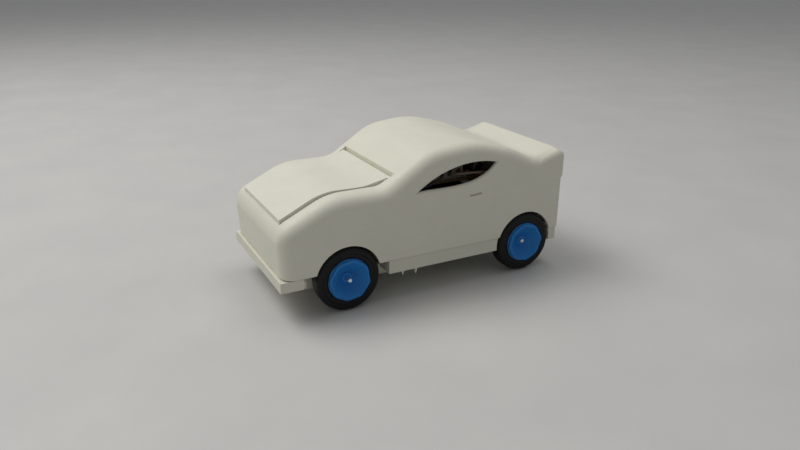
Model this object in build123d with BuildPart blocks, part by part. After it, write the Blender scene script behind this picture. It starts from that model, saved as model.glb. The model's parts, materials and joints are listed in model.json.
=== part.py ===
from build123d import *
from math import acos, cos, pi, radians, sin, tan
import os

# Small two-motor robot car, in millimetres.
# The nose points to -Y, the car's left side is +X and the wheels stand on Z = 0.

# --- running gear -------------------------------------------------------------
WHEELBASE = 100.0
FRONT_AXLE_Y = -44.5
REAR_AXLE_Y = FRONT_AXLE_Y + WHEELBASE
WHEEL_RADIUS = 15.9
AXLE_Z = WHEEL_RADIUS
TYRE_WIDTH = 8.6
TYRE_FACE_X = 36.7
TYRE_INNER_X = TYRE_FACE_X - TYRE_WIDTH
TYRE_SHOULDER = 1.8
HUB_RADIUS = 10.4
HUB_LIP = 1.5
HUB_LOBES = 7
LOBE_ROUND = 3.0
HUB_BOSS_X = 26.1
DISH_RADIUS = 8.1
AXLE_RADIUS = 1.0
BORE_GAP = 0.05
FRONT_AXLE_END = 37.9
REAR_AXLE_END = 35.4
REAR_AXLE_INNER = 1.2
AXLE_CHAMFER = 0.25
COLLAR_RADIUS = 2.6
BUSH_LENGTH = 3.2
MIDDLE_BUSH_X = 3.6
ARCH_RADIUS = 16.7

# --- gears and motors ---------------------------------------------------------
MODULE = 0.5
GEAR_TEETH = 30
PINION_TEETH = 10
PRESSURE_ANGLE = radians(20)
STUB_ADDENDUM = 0.8
DEDENDUM = 1.25
BACKLASH = 0.12
GEAR_X = (15.6, 18.8)
PINION_X = (15.3, 19.0)
MOTOR_Y = REAR_AXLE_Y - MODULE * (GEAR_TEETH + PINION_TEETH) / 2
MOTOR_X = (0.6, 13.6)
MOTOR_RADIUS = 6.0
MOTOR_FLAT = 5.0
SHAFT_RADIUS = 0.75
MOTOR_CAP = 2.4
SHAFT_START = 6.2
CLAMP_REACH = 8.2
CLAMP_THICKNESS = 1.4

# --- body shell ---------------------------------------------------------------
SHELL_HALF = 36.8
SHELL_BOTTOM = 21.1
WALL = 1.8
NOSE_Y = -77.2
NOSE_LEAN = 1.3
TAIL_Y = 77.3
EDGE_ROUND = 6.4
TAIL_STEP_Z = 49.2
TAIL_STEP = 0.9
BODY_CORNERS = (
    (NOSE_Y, 43.3), (-51.2, 55.9), (-24.5, 55.9), (-1.6, 70.7),
    (22.0, 73.3), (45.0, 67.0), (60.0, 60.2),
)
BODY_BENDS = (10.0, 32.0, 14.0, 28.0, 50.0, 40.0, 12.0)
TAIL_RIDGE = (74.4, 63.4)
TAIL_BEVEL_Z = 61.3
TAIL_END_Y = 85.0
WEDGE_START = (46.0, 54.6)
WEDGE_ROUND = 4.4
WINDOW_BEVEL = 0.7
HANDLE_CENTRE = (23.6, 47.1)
HANDLE_DEPTH = 1.0

# --- hood ---------------------------------------------------------------------
HOOD_HALF = 26.6
HOOD_FRONT = -73.2
HOOD_THICKNESS = 2.0
HOOD_CORNERS = ((HOOD_FRONT, 46.9), (-52.9, 56.8), (-32.0, 56.4))
HOOD_BENDS = (30.0, 28.0)
HINGE_Y = -18.6
HINGE_Z = 57.7
BARREL_RADIUS = 1.5
BARREL_HALF = 27.8
PIN_RADIUS = 0.6
PIN_X = (26.0, 30.4)
HOOD_GAP = 0.3
FRAME_DEPTH = 5.0
FRAME_HALF = 31.0
BAY_HALF = 23.0
BAY = (-68.5, -23.5)

# --- chassis tray -------------------------------------------------------------
SILL_HALF = 35.8
SILL_BOTTOM = 13.9
SILL_TOP = 20.5
SILL_Y = (-23.3, 41.0)
BUMPER_Y = (-77.3, -66.2)
BUMPER_BOTTOM = 15.5
REAR_BUMPER_Y = (66.5, 76.5)
PLATE = 1.6
PLATE_TOP = SILL_BOTTOM + PLATE
PLATE_HALF = 25.5
TUB_HALF = 21.0
TUB_BOTTOM = 7.5
TUB_FLOOR = TUB_BOTTOM + PLATE
TUB_Y = (-60.0, 66.5)
BLOCK_X = (TUB_HALF, 25.5)
BUSH_RADIUS = 2.0
LOCATOR_X = 22.0
LOCATOR_Y = 71.3
LOCATOR_RADIUS = 1.5

# --- what the tray carries ----------------------------------------------------
CELL_RADIUS = 7.1
CELL_LENGTH = 50.0
CELL_X = 7.8
CELL_NUB = 1.0
BUTTON_LENGTH = 1.1
HOLDER_HALF = 16.4
HOLDER_Y = (-23.0, 35.0)
DECK_Z = 48.0
DECK_THICKNESS = 2.0
DECK_HALF = 31.0
DECK_Y = (-20.0, 38.0)
DECK_POST_X = 27.5
DECK_POST_Y = (-17.0, 34.0)
DRIVER_Z = 52.4
DRIVER_HALF = 28.3
DRIVER_Y = (-6.0, 36.0)
CONTROLLER_Z = 28.0
CONTROLLER_HALF = 24.5
CONTROLLER_Y = (-65.5, -24.5)
CONTROLLER_POSTS = (-62.0, -28.0)
BOARD = 1.6
SCREW_RADIUS = 1.0
SCREW_HEAD = (1.9, 1.4)
CROSS_SLOT = (1.1, 0.22)


def save(piece, name):
    piece.part.label = name
    export_step(piece.part, f"parts/{name}.step")


def slab(x, y, z, mode=Mode.ADD):
    """Box between two values of x, y and z, for use inside a part block."""
    with BuildSketch(Plane.XY.offset(z[0])) as base:
        with Locations(((x[0] + x[1]) / 2, (y[0] + y[1]) / 2)):
            Rectangle(x[1] - x[0], y[1] - y[0])
    extrude(base.sketch, amount=z[1] - z[0], mode=mode)


def rod(x, centre, radius, mode=Mode.ADD):
    """Cylinder along X round the (y, z) centre, for use inside a part block."""
    with BuildSketch(Plane.YZ.offset(x[0])) as end:
        with Locations(centre):
            Circle(radius)
    extrude(end.sketch, amount=x[1] - x[0], mode=mode)


def post(places, z, radius, mode=Mode.ADD):
    """Upright cylinders at the (x, y) places, for use inside a part block."""
    with BuildSketch(Plane.XY.offset(z[0])) as base:
        with Locations(*places):
            Circle(radius)
    extrude(base.sketch, amount=z[1] - z[0], mode=mode)


def four_corners(x, y_pair):
    return [(side * x, y) for y in y_pair for side in (1, -1)]


# --- body shell and hood ------------------------------------------------------

def tail_cut(inset):
    """Space behind the tail: bevelled ridge, upright face and the step under it."""
    rear = TAIL_Y - inset
    floor = SHELL_BOTTOM - 10.0
    with BuildPart() as space:
        with BuildSketch(Plane.YZ):
            with BuildLine():
                Polyline(
                    (TAIL_RIDGE[0] - inset, 90.0), (TAIL_RIDGE[0] - inset, TAIL_RIDGE[1]),
                    (rear, TAIL_BEVEL_Z), (rear, TAIL_STEP_Z),
                    (rear - TAIL_STEP, TAIL_STEP_Z - TAIL_STEP), (rear - TAIL_STEP, floor),
                    (TAIL_END_Y + 5.0, floor), (TAIL_END_Y + 5.0, 90.0), close=True,
                )
            make_face()
        extrude(amount=SHELL_HALF + 5.0, both=True)
    return space.part


def body_block(inset):
    """Solid body with rounded edges; inset moves its top, nose, tail and sides inwards."""
    half = SHELL_HALF - inset
    floor = SHELL_BOTTOM - 2 * inset
    with BuildPart() as block:
        with BuildSketch(Plane.YZ):
            with BuildLine():
                top = FilletPolyline(
                    (NOSE_Y + NOSE_LEAN, floor), *BODY_CORNERS, (TAIL_END_Y, 66.4),
                    radius=list(BODY_BENDS),
                )
                Polyline(top @ 1, (TAIL_END_Y, floor), top @ 0)
            make_face()
            if inset > 0:
                offset(amount=-inset, kind=Kind.INTERSECTION)
        extrude(amount=half, both=True)
        sides = block.faces().filter_by(Axis.X)
        corners = [face.edges().sort_by(Axis.Y)[0] for face in sides]
        fillet(corners, EDGE_ROUND - inset)
        add(tail_cut(inset), mode=Mode.SUBTRACT)
    return block.part


def tail_wedge():
    """Spoiler that grows out of the tail with a tighter edge than the body."""
    with BuildPart() as wedge:
        with BuildSketch(Plane.YZ):
            with BuildLine():
                Polyline(
                    WEDGE_START, TAIL_RIDGE, (TAIL_END_Y, TAIL_RIDGE[1]),
                    (TAIL_END_Y, WEDGE_START[1] - 10.0), (WEDGE_START[0], WEDGE_START[1] - 10.0),
                    close=True,
                )
            make_face()
        extrude(amount=SHELL_HALF, both=True)
        upper = wedge.faces().sort_by(Axis.Z)[-1].edges()
        upper += wedge.faces().filter_by(Axis.Z, reverse=True).sort_by(Axis.Z)[-1].edges()
        fillet(upper.filter_by(Axis.X, reverse=True), WEDGE_ROUND)
        add(tail_cut(0.0), mode=Mode.SUBTRACT)
    return wedge.part


def hood_line(drop, ahead=0.0):
    """Lengthwise curve of the hood, lowered by drop and started further ahead."""
    front, *middle = HOOD_CORNERS
    points = [(front[0] - ahead, front[1] - drop)]
    points += [(y, z - drop) for y, z in middle]
    points += [(HINGE_Y, HINGE_Z + BARREL_RADIUS - drop)]
    return FilletPolyline(*points, radius=list(HOOD_BENDS))


def hood_side():
    """Side view of the hood with its hinge barrel, drawn as (y, z)."""
    with BuildSketch() as side:
        with BuildLine():
            top = hood_line(0.0)
            lower = hood_line(HOOD_THICKNESS)
            Line(top @ 0, lower @ 0)
            Line(top @ 1, lower @ 1)
        make_face()
        with Locations((HINGE_Y, HINGE_Z)):
            Circle(BARREL_RADIUS)
    return side.sketch


def hood_pocket():
    """Side view of the space that is cut out of the body for the hood."""
    reach = HINGE_Y + BARREL_RADIUS + HOOD_GAP
    with BuildSketch() as pocket:
        with BuildLine():
            lower = hood_line(HOOD_THICKNESS + HOOD_GAP, HOOD_GAP)
            Polyline(lower @ 1, (reach, HINGE_Z), (reach, 75.0), ((lower @ 0).X, 75.0), lower @ 0)
        make_face()
        with Locations((HINGE_Y, HINGE_Z)):
            Circle(BARREL_RADIUS + HOOD_GAP)
    return pocket.sketch


def window_outline():
    """Lens-shaped side window, drawn as (y, z)."""
    with BuildSketch() as lens:
        with BuildLine():
            upper = Spline((-8.6, 52.7), (8.2, 61.3), (21.0, 63.5), (35.6, 62.0))
            Spline(upper @ 1, (29.6, 56.9), (15.0, 53.0), upper @ 0)
        make_face()
    return lens.sketch


def shell_cavity():
    """Inside of the shell, shallower round the hood so that a thick frame is left there."""
    with BuildPart() as frame:
        slab((-FRAME_HALF, FRAME_HALF), (NOSE_Y + 1, HINGE_Y + 4.6), (SHELL_BOTTOM, 80.0))
        add(body_block(FRAME_DEPTH), mode=Mode.SUBTRACT)
    with BuildPart() as cavity:
        add(body_block(WALL))
        add(frame.part, mode=Mode.SUBTRACT)
    return cavity.part


def make_body_shell():
    cavity = shell_cavity()
    slot = BARREL_RADIUS + HOOD_GAP
    slot_x = (-BARREL_HALF - HOOD_GAP, BARREL_HALF + HOOD_GAP)
    with BuildPart() as shell:
        add(body_block(0))
        add(tail_wedge())
        add(cavity, mode=Mode.SUBTRACT)
        for x in (-LOCATOR_X, LOCATOR_X):
            slab((x - 4, x + 4), (-75.3, -67.6), (SILL_TOP, 26.0))
            slab((x - 4, x + 4), (67.6, 75.4), (SILL_TOP, 26.0))
        sockets = four_corners(LOCATOR_X, (-LOCATOR_Y, LOCATOR_Y))
        post(sockets, (20.0, 30.0), LOCATOR_RADIUS + 0.15, mode=Mode.SUBTRACT)
        for axle_y in (FRONT_AXLE_Y, REAR_AXLE_Y):
            rod((-40.0, -28.0), (axle_y, AXLE_Z), ARCH_RADIUS, mode=Mode.SUBTRACT)
            rod((28.0, 40.0), (axle_y, AXLE_Z), ARCH_RADIUS, mode=Mode.SUBTRACT)
        with BuildSketch(Plane.YZ.offset(-40.0)):
            add(window_outline())
        extrude(amount=80.0, mode=Mode.SUBTRACT)
        slab((-BAY_HALF, BAY_HALF), BAY, (30.0, 80.0), mode=Mode.SUBTRACT)
        with BuildSketch(Plane.YZ.offset(-HOOD_HALF - HOOD_GAP)):
            add(hood_pocket())
        extrude(amount=2 * (HOOD_HALF + HOOD_GAP), mode=Mode.SUBTRACT)
        rod(slot_x, (HINGE_Y, HINGE_Z), slot, mode=Mode.SUBTRACT)
        slab(slot_x, (HINGE_Y - slot, HINGE_Y + slot), (HINGE_Z, 70.0), mode=Mode.SUBTRACT)
        rod((-PIN_X[1], PIN_X[1]), (HINGE_Y, HINGE_Z), PIN_RADIUS, mode=Mode.SUBTRACT)
        for side in (-1, 1):
            with BuildSketch(Plane.YZ.offset(side * SHELL_HALF)):
                with Locations(HANDLE_CENTRE):
                    SlotOverall(7.0, 1.1, rotation=3.0)
            extrude(amount=HANDLE_DEPTH, both=True, mode=Mode.SUBTRACT)
        slab((-11.0, 11.0), (TAIL_Y - TAIL_STEP - 0.7, TAIL_Y), (36.0, 42.5), mode=Mode.SUBTRACT)
        faces = shell.faces().filter_by(Axis.X)
        for side in (-1, 1):
            outer = faces.filter_by_position(Axis.X, *sorted((side * SHELL_HALF, side * 36.7)))
            rims = outer.edges().filter_by_position(Axis.Z, 52.0, 64.0)
            chamfer(rims.filter_by_position(Axis.Y, -9.0, 36.0), WINDOW_BEVEL)
    save(shell, "body_shell")


def make_hood():
    with BuildPart() as hood:
        with BuildSketch(Plane.YZ.offset(-HOOD_HALF)):
            add(hood_side())
        extrude(amount=2 * HOOD_HALF)
        rod((-BARREL_HALF, BARREL_HALF), (HINGE_Y, HINGE_Z), BARREL_RADIUS)
        rod((-BARREL_HALF, -25.5), (HINGE_Y, HINGE_Z), PIN_RADIUS + BORE_GAP, mode=Mode.SUBTRACT)
        rod((25.5, BARREL_HALF), (HINGE_Y, HINGE_Z), PIN_RADIUS + BORE_GAP, mode=Mode.SUBTRACT)
    save(hood, "hood_lid")

    with BuildPart() as pins:
        rod(PIN_X, (HINGE_Y, HINGE_Z), PIN_RADIUS)
        rod((-PIN_X[1], -PIN_X[0]), (HINGE_Y, HINGE_Z), PIN_RADIUS)
    save(pins, "hood_hinge_pins")


# --- wheels and axles ------------------------------------------------------------

def wheel_plane():
    return Plane.XY.offset(AXLE_Z)


def hub_outline(side, axle_y):
    """Half section of a hub: boss, dished web and the rim that the tyre sits on."""
    seat = TYRE_INNER_X + 0.4
    points = [
        (HUB_BOSS_X, AXLE_RADIUS), (HUB_BOSS_X, 2.8), (31.4, 2.8), (34.6, 9.0), (seat, 9.0),
        (seat, HUB_RADIUS), (TYRE_FACE_X, HUB_RADIUS), (TYRE_FACE_X, DISH_RADIUS), (33.4, 3.4),
        (33.4, 2.8), (35.0, 2.4), (35.0, AXLE_RADIUS),
    ]
    return [(side * x, axle_y + radius) for x, radius in points]


def make_hub(name, side, axle_y):
    lip = sorted((side * TYRE_FACE_X, side * (TYRE_FACE_X + HUB_LIP)))
    with BuildPart() as hub:
        with BuildSketch(wheel_plane()):
            with BuildLine():
                Polyline(*hub_outline(side, axle_y), close=True)
            make_face()
        revolve(axis=Axis((0, axle_y, AXLE_Z), (1, 0, 0)))
        with BuildSketch(Plane.YZ.offset(side * TYRE_FACE_X)):
            with Locations((axle_y, AXLE_Z)):
                RegularPolygon(HUB_RADIUS + 0.9, HUB_LOBES)
        extrude(amount=side * HUB_LIP)
        corners = hub.edges().filter_by(Axis.X).filter_by_position(Axis.X, *lip)
        fillet(corners, LOBE_ROUND)
        with BuildSketch(Plane.YZ.offset(side * TYRE_FACE_X)):
            with Locations((axle_y, AXLE_Z)):
                Circle(DISH_RADIUS)
        extrude(amount=side * HUB_LIP, taper=-24, mode=Mode.SUBTRACT)
    save(hub, name)


def make_tyre(name, side, axle_y):
    middle_x = side * (TYRE_INNER_X + TYRE_WIDTH / 2)
    middle_radius = (HUB_RADIUS + WHEEL_RADIUS) / 2
    with BuildPart() as tyre:
        with BuildSketch(wheel_plane()):
            with Locations((middle_x, axle_y + middle_radius)):
                Rectangle(TYRE_WIDTH, WHEEL_RADIUS - HUB_RADIUS)
        revolve(axis=Axis((0, axle_y, AXLE_Z), (1, 0, 0)))
        rims = tyre.edges().filter_by(GeomType.CIRCLE).sort_by(lambda edge: edge.radius)[-2:]
        fillet(rims, TYRE_SHOULDER)
    save(tyre, name)


def make_front_axle():
    with BuildPart() as axle:
        rod((-FRONT_AXLE_END, FRONT_AXLE_END), (FRONT_AXLE_Y, AXLE_Z), AXLE_RADIUS)
        chamfer(axle.edges().filter_by(GeomType.CIRCLE), AXLE_CHAMFER)
    save(axle, "front_axle")

    with BuildPart() as collars:
        for x in (16.4, -18.9):
            rod((x, x + 2.5), (FRONT_AXLE_Y, AXLE_Z), COLLAR_RADIUS)
        rod((-20.0, 20.0), (FRONT_AXLE_Y, AXLE_Z), AXLE_RADIUS, mode=Mode.SUBTRACT)
    save(collars, "front_axle_collars")


def make_rear_axle(name, side):
    ends = sorted((side * REAR_AXLE_INNER, side * REAR_AXLE_END))
    with BuildPart() as axle:
        rod(ends, (REAR_AXLE_Y, AXLE_Z), AXLE_RADIUS)
        chamfer(axle.edges().filter_by(GeomType.CIRCLE), AXLE_CHAMFER)
    save(axle, name)


def make_bushes():
    with BuildPart() as front:
        for x in (BLOCK_X[1] - BUSH_LENGTH, -BLOCK_X[1]):
            rod((x, x + BUSH_LENGTH), (FRONT_AXLE_Y, AXLE_Z), BUSH_RADIUS)
        rod((-30.0, 30.0), (FRONT_AXLE_Y, AXLE_Z), AXLE_RADIUS + BORE_GAP, mode=Mode.SUBTRACT)
    save(front, "front_axle_bushes")

    with BuildPart() as rear:
        middle = (MIDDLE_BUSH_X, -MIDDLE_BUSH_X - BUSH_LENGTH)
        for x in (BLOCK_X[1] - BUSH_LENGTH, -BLOCK_X[1], *middle):
            rod((x, x + BUSH_LENGTH), (REAR_AXLE_Y, AXLE_Z), BUSH_RADIUS)
        rod((-30.0, 30.0), (REAR_AXLE_Y, AXLE_Z), AXLE_RADIUS + BORE_GAP, mode=Mode.SUBTRACT)
    save(rear, "rear_axle_bushes")


# --- gears and motors -----------------------------------------------------------

def half_angle(teeth, radius):
    """Half the angle that an involute tooth takes up at a radius."""
    pitch = MODULE * teeth / 2
    base = pitch * cos(PRESSURE_ANGLE)
    roll = acos(min(1.0, base / radius))
    thickness = pi * MODULE / 2 - BACKLASH
    return thickness / (2 * pitch) + tan(PRESSURE_ANGLE) - PRESSURE_ANGLE - tan(roll) + roll


def tooth_point(centre, radius, angle):
    return (centre[0] + radius * cos(angle), centre[1] + radius * sin(angle))


def gear_outline(centre, teeth, phase):
    """Spur gear seen along X; a tooth points at the phase angle, in radians."""
    pitch = MODULE * teeth / 2
    root = pitch - DEDENDUM * MODULE
    tip = pitch + STUB_ADDENDUM * MODULE
    with BuildSketch() as outline:
        with Locations(centre):
            Circle(root)
        for tooth in range(teeth):
            middle = phase + 2 * pi * tooth / teeth
            left = [tooth_point(centre, r, middle + half_angle(teeth, r)) for r in (pitch, tip)]
            right = [tooth_point(centre, r, middle - half_angle(teeth, r)) for r in (tip, pitch)]
            foot = half_angle(teeth, pitch * cos(PRESSURE_ANGLE))
            heel = tooth_point(centre, root - 0.1, middle + foot)
            toe = tooth_point(centre, root - 0.1, middle - foot)
            with BuildLine():
                Polyline(heel, *left, *right, toe, close=True)
            make_face()
    return outline.sketch


def make_axle_gear(name, side):
    centre = (REAR_AXLE_Y, AXLE_Z)
    ends = sorted((side * GEAR_X[0], side * GEAR_X[1]))
    with BuildPart() as gear:
        with BuildSketch(Plane.YZ.offset(ends[0])):
            add(gear_outline(centre, GEAR_TEETH, pi))
        extrude(amount=ends[1] - ends[0])
        rod(sorted((side * (GEAR_X[0] - 3.0), side * GEAR_X[0])), centre, COLLAR_RADIUS)
        rod((-40.0, 40.0), centre, AXLE_RADIUS, mode=Mode.SUBTRACT)
    save(gear, name)


def motor_flats():
    """Cut that leaves two flats on a round motor, for use inside a part block."""
    width = (MOTOR_Y - 8.0, MOTOR_Y + 8.0)
    slab((-30.0, 30.0), width, (AXLE_Z + MOTOR_FLAT, 30.0), mode=Mode.SUBTRACT)
    slab((-30.0, 30.0), width, (0.0, AXLE_Z - MOTOR_FLAT), mode=Mode.SUBTRACT)


def make_motor(label, side):
    centre = (MOTOR_Y, AXLE_Z)
    cap_end = MOTOR_X[0] + MOTOR_CAP
    with BuildPart() as can:
        rod(sorted((side * cap_end, side * MOTOR_X[1])), centre, MOTOR_RADIUS)
        motor_flats()
        rod(sorted((side * MOTOR_X[1], side * (MOTOR_X[1] + 0.9))), centre, 2.0)
        bore = sorted((side * (SHAFT_START - 0.2), side * 16.0))
        rod(bore, centre, SHAFT_RADIUS + BORE_GAP, mode=Mode.SUBTRACT)
    save(can, f"motor_can_{label}")

    with BuildPart() as cap:
        rod(sorted((side * MOTOR_X[0], side * cap_end)), centre, MOTOR_RADIUS)
        motor_flats()
    save(cap, f"motor_end_cap_{label}")

    with BuildPart() as shaft:
        rod(sorted((side * SHAFT_START, side * PINION_X[1])), centre, SHAFT_RADIUS)
    save(shaft, f"motor_shaft_{label}")

    pinion_x = sorted((side * PINION_X[0], side * PINION_X[1]))
    with BuildPart() as pinion:
        with BuildSketch(Plane.YZ.offset(pinion_x[0])):
            add(gear_outline(centre, PINION_TEETH, pi / PINION_TEETH))
        extrude(amount=pinion_x[1] - pinion_x[0])
        rod((-40.0, 40.0), centre, SHAFT_RADIUS, mode=Mode.SUBTRACT)
    save(pinion, f"motor_pinion_{label}")


def clamp_places():
    return [(0.0, MOTOR_Y - CLAMP_REACH), (0.0, MOTOR_Y + CLAMP_REACH)]


def make_motor_clamp():
    top = AXLE_Z + MOTOR_FLAT
    seat = top + CLAMP_THICKNESS
    half = MOTOR_X[1] - 0.4
    reach = CLAMP_REACH + 2.0
    with BuildPart() as clamp:
        slab((-half, half), (MOTOR_Y - 4.0, MOTOR_Y + 4.0), (top, seat))
        slab((-2.6, 2.6), (MOTOR_Y - reach, MOTOR_Y + reach), (top, seat))
        post(clamp_places(), (top - 1, top + 3), SCREW_RADIUS, mode=Mode.SUBTRACT)
    save(clamp, "motor_clamp")
    make_screws("motor_clamp_screws", clamp_places(), seat, 7.0)


def make_screws(name, places, seat, length):
    """Cross-head machine screws whose heads rest at the seat height."""
    with BuildPart() as screws:
        post(places, (seat - length, seat), SCREW_RADIUS)
        post(places, (seat, seat + SCREW_HEAD[1]), SCREW_HEAD[0])
        fillet(screws.faces().group_by(Axis.Z)[-1].edges(), 0.5)
        depth = (seat + SCREW_HEAD[1] / 2, seat + 2.0)
        long, short = CROSS_SLOT
        for x, y in places:
            slab((x - long, x + long), (y - short, y + short), depth, mode=Mode.SUBTRACT)
            slab((x - short, x + short), (y - long, y + long), depth, mode=Mode.SUBTRACT)
    save(screws, name)


# --- chassis tray -----------------------------------------------------------------

def tray_plates():
    """Floor plate, side sills, tub and bumpers, for use inside a part block."""
    inner = SILL_HALF - PLATE
    slab((-PLATE_HALF, PLATE_HALF), (BUMPER_Y[1] - 2, REAR_BUMPER_Y[0] + 2), (SILL_BOTTOM, PLATE_TOP))
    slab((-SILL_HALF, SILL_HALF), SILL_Y, (SILL_BOTTOM, SILL_TOP))
    slab((-inner, inner), (SILL_Y[0] + PLATE, SILL_Y[1]), (PLATE_TOP, 30.0), mode=Mode.SUBTRACT)
    slab((-TUB_HALF, TUB_HALF), TUB_Y, (TUB_BOTTOM, PLATE_TOP))
    slab((-SILL_HALF, SILL_HALF), BUMPER_Y, (BUMPER_BOTTOM, SILL_TOP))
    slab((-PLATE_HALF, PLATE_HALF), (BUMPER_Y[0] + 4, BUMPER_Y[1]), (SILL_BOTTOM, BUMPER_BOTTOM))
    slab((-SILL_HALF, SILL_HALF), REAR_BUMPER_Y, (SILL_BOTTOM, SILL_TOP))
    for axle_y in (FRONT_AXLE_Y, REAR_AXLE_Y):
        for x in (BLOCK_X, (-BLOCK_X[1], -BLOCK_X[0])):
            slab(x, (axle_y - 4.5, axle_y + 4.5), (AXLE_Z - 4.6, AXLE_Z + 4.6))


def motor_mounts():
    """Middle bearing block, screw posts and cradles for the motors."""
    slab((-7.0, 7.0), (REAR_AXLE_Y - 3.4, REAR_AXLE_Y + 3.4), (TUB_BOTTOM, AXLE_Z + 3.6))
    seat = AXLE_Z + MOTOR_FLAT
    post(clamp_places(), (TUB_FLOOR - 0.2, seat), 1.8)
    post(clamp_places(), (seat - 6.0, seat), SCREW_RADIUS, mode=Mode.SUBTRACT)
    for x in (3.0, 10.0, -5.0, -12.0):
        slab((x, x + 2.0), (MOTOR_Y - 5.0, MOTOR_Y + 5.0), (TUB_FLOOR, AXLE_Z - MOTOR_FLAT))


def axle_bores():
    """Seats for the bushes, axle clearance, gear slots and wheel arches."""
    inside = TUB_HALF - PLATE
    front = (FRONT_AXLE_Y, AXLE_Z)
    rear = (REAR_AXLE_Y, AXLE_Z)
    gear_y = (REAR_AXLE_Y - 6.4, REAR_AXLE_Y + 6.4)
    for side in (-1, 1):
        outer = sorted((side * (BLOCK_X[1] - BUSH_LENGTH), side * 30.0))
        middle = sorted((side * MIDDLE_BUSH_X, side * 9.0))
        rod(sorted((side * 26.0, side * 40.0)), rear, ARCH_RADIUS, mode=Mode.SUBTRACT)
        rod(outer, front, BUSH_RADIUS, mode=Mode.SUBTRACT)
        rod(outer, rear, BUSH_RADIUS, mode=Mode.SUBTRACT)
        rod(middle, rear, BUSH_RADIUS, mode=Mode.SUBTRACT)
        rod(sorted((side * 0.8, side * 30.0)), rear, AXLE_RADIUS + 0.4, mode=Mode.SUBTRACT)
        slab(sorted((side * 15.0, side * inside)), gear_y, (0, 12.0), mode=Mode.SUBTRACT)
    rod((-30.0, 30.0), front, AXLE_RADIUS + 0.4, mode=Mode.SUBTRACT)


def print_spurs():
    """Two stray strands left by printing under the left sill."""
    for y, height in ((-15.5, 2.6), (-8.3, 3.2)):
        with Locations((SILL_HALF - 1.1, y, SILL_BOTTOM)):
            Cone(0.12, 0.9, height, align=(Align.CENTER, Align.CENTER, Align.MAX))


def make_tray():
    inside = TUB_HALF - PLATE
    hollow_y = (TUB_Y[0] + PLATE, TUB_Y[1] - PLATE)
    locators = four_corners(LOCATOR_X, (-LOCATOR_Y, LOCATOR_Y))
    screw_holes = four_corners(DECK_POST_X, DECK_POST_Y) + four_corners(LOCATOR_X, CONTROLLER_POSTS)
    with BuildPart() as tray:
        tray_plates()
        slab((-inside, inside), hollow_y, (TUB_FLOOR, 30.0), mode=Mode.SUBTRACT)
        motor_mounts()
        axle_bores()
        post(locators, (SILL_TOP, SILL_TOP + 4.5), LOCATOR_RADIUS)
        slab((-4.4, 4.4), (71.6, 75.1), (16.0, 30.0), mode=Mode.SUBTRACT)
        slab((-2.2, 2.2), (75.0, 78.0), (17.1, 18.9), mode=Mode.SUBTRACT)
        post(screw_holes, (10.0, 16.0), SCREW_RADIUS, mode=Mode.SUBTRACT)
        print_spurs()
    save(tray, "chassis_tray")


# --- batteries --------------------------------------------------------------------

def make_battery():
    base = TUB_FLOOR
    cell_z = base + 1.4 + CELL_RADIUS
    with BuildPart() as holder:
        slab((-HOLDER_HALF, HOLDER_HALF), HOLDER_Y, (base, base + 15.0))
        slab((-HOLDER_HALF + 1.2, HOLDER_HALF - 1.2), (HOLDER_Y[0] + 1.4, HOLDER_Y[1] - 1.4),
             (base + 1.2, base + 20), mode=Mode.SUBTRACT)
        slab((-30, 30), (HOLDER_Y[0] + 8, HOLDER_Y[1] - 8), (base + 9.0, base + 20), mode=Mode.SUBTRACT)
        slab((-0.5, 0.5), (HOLDER_Y[0] + 1.4, HOLDER_Y[1] - 1.4), (base + 1.2, base + 6.0))
    save(holder, "battery_holder")

    front_wall = HOLDER_Y[0] + 1.4
    rear_wall = HOLDER_Y[1] - 1.4
    start = (front_wall + rear_wall - CELL_LENGTH) / 2
    for label, side in (("left", 1), ("right", -1)):
        with BuildPart() as cell:
            with BuildSketch(Plane.XZ.offset(-start)) as end:
                with Locations((side * CELL_X, cell_z)):
                    Circle(CELL_RADIUS)
            extrude(end.sketch, amount=-CELL_LENGTH)
            fillet(cell.edges().filter_by(GeomType.CIRCLE), 0.8)
            nub = start if side < 0 else start + CELL_LENGTH
            with BuildSketch(Plane.XZ.offset(-nub)) as tip:
                with Locations((side * CELL_X, cell_z)):
                    Circle(2.6)
            extrude(tip.sketch, amount=-side * CELL_NUB)
        save(cell, f"battery_cell_{label}")

    with BuildPart() as contacts:
        for side in (1, -1):
            width = sorted((side * 2.6, side * 13.0))
            slab(width, (front_wall, front_wall + 0.5), (base + 3.0, base + 13.4))
            slab(width, (rear_wall - 0.5, rear_wall), (base + 3.0, base + 13.4))
        springs = ((1, front_wall + 0.5, start), (-1, rear_wall - 0.5, start + CELL_LENGTH))
        for side, plate, flat_end in springs:
            with Locations(Plane((side * CELL_X, plate, cell_z), z_dir=(0, side, 0))):
                Cone(3.6, 2.2, abs(flat_end - plate), align=(Align.CENTER, Align.CENTER, Align.MIN))
        buttons = ((1, rear_wall - 0.5), (-1, front_wall + 0.5))
        for side, plate in buttons:
            with Locations(Plane((side * CELL_X, plate, cell_z), z_dir=(0, -side, 0))):
                Cylinder(2.2, BUTTON_LENGTH, align=(Align.CENTER, Align.CENTER, Align.MIN))
    save(contacts, "battery_contacts")


# --- upper deck and electronics -----------------------------------------------------

def make_posts(name, places, z, flats):
    with BuildPart() as posts:
        with BuildSketch(Plane.XY.offset(z[0])) as feet:
            with Locations(*places):
                RegularPolygon(flats / 2, 6, major_radius=False)
        extrude(feet.sketch, amount=z[1] - z[0])
        post(places, z, SCREW_RADIUS, mode=Mode.SUBTRACT)
    save(posts, name)


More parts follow.
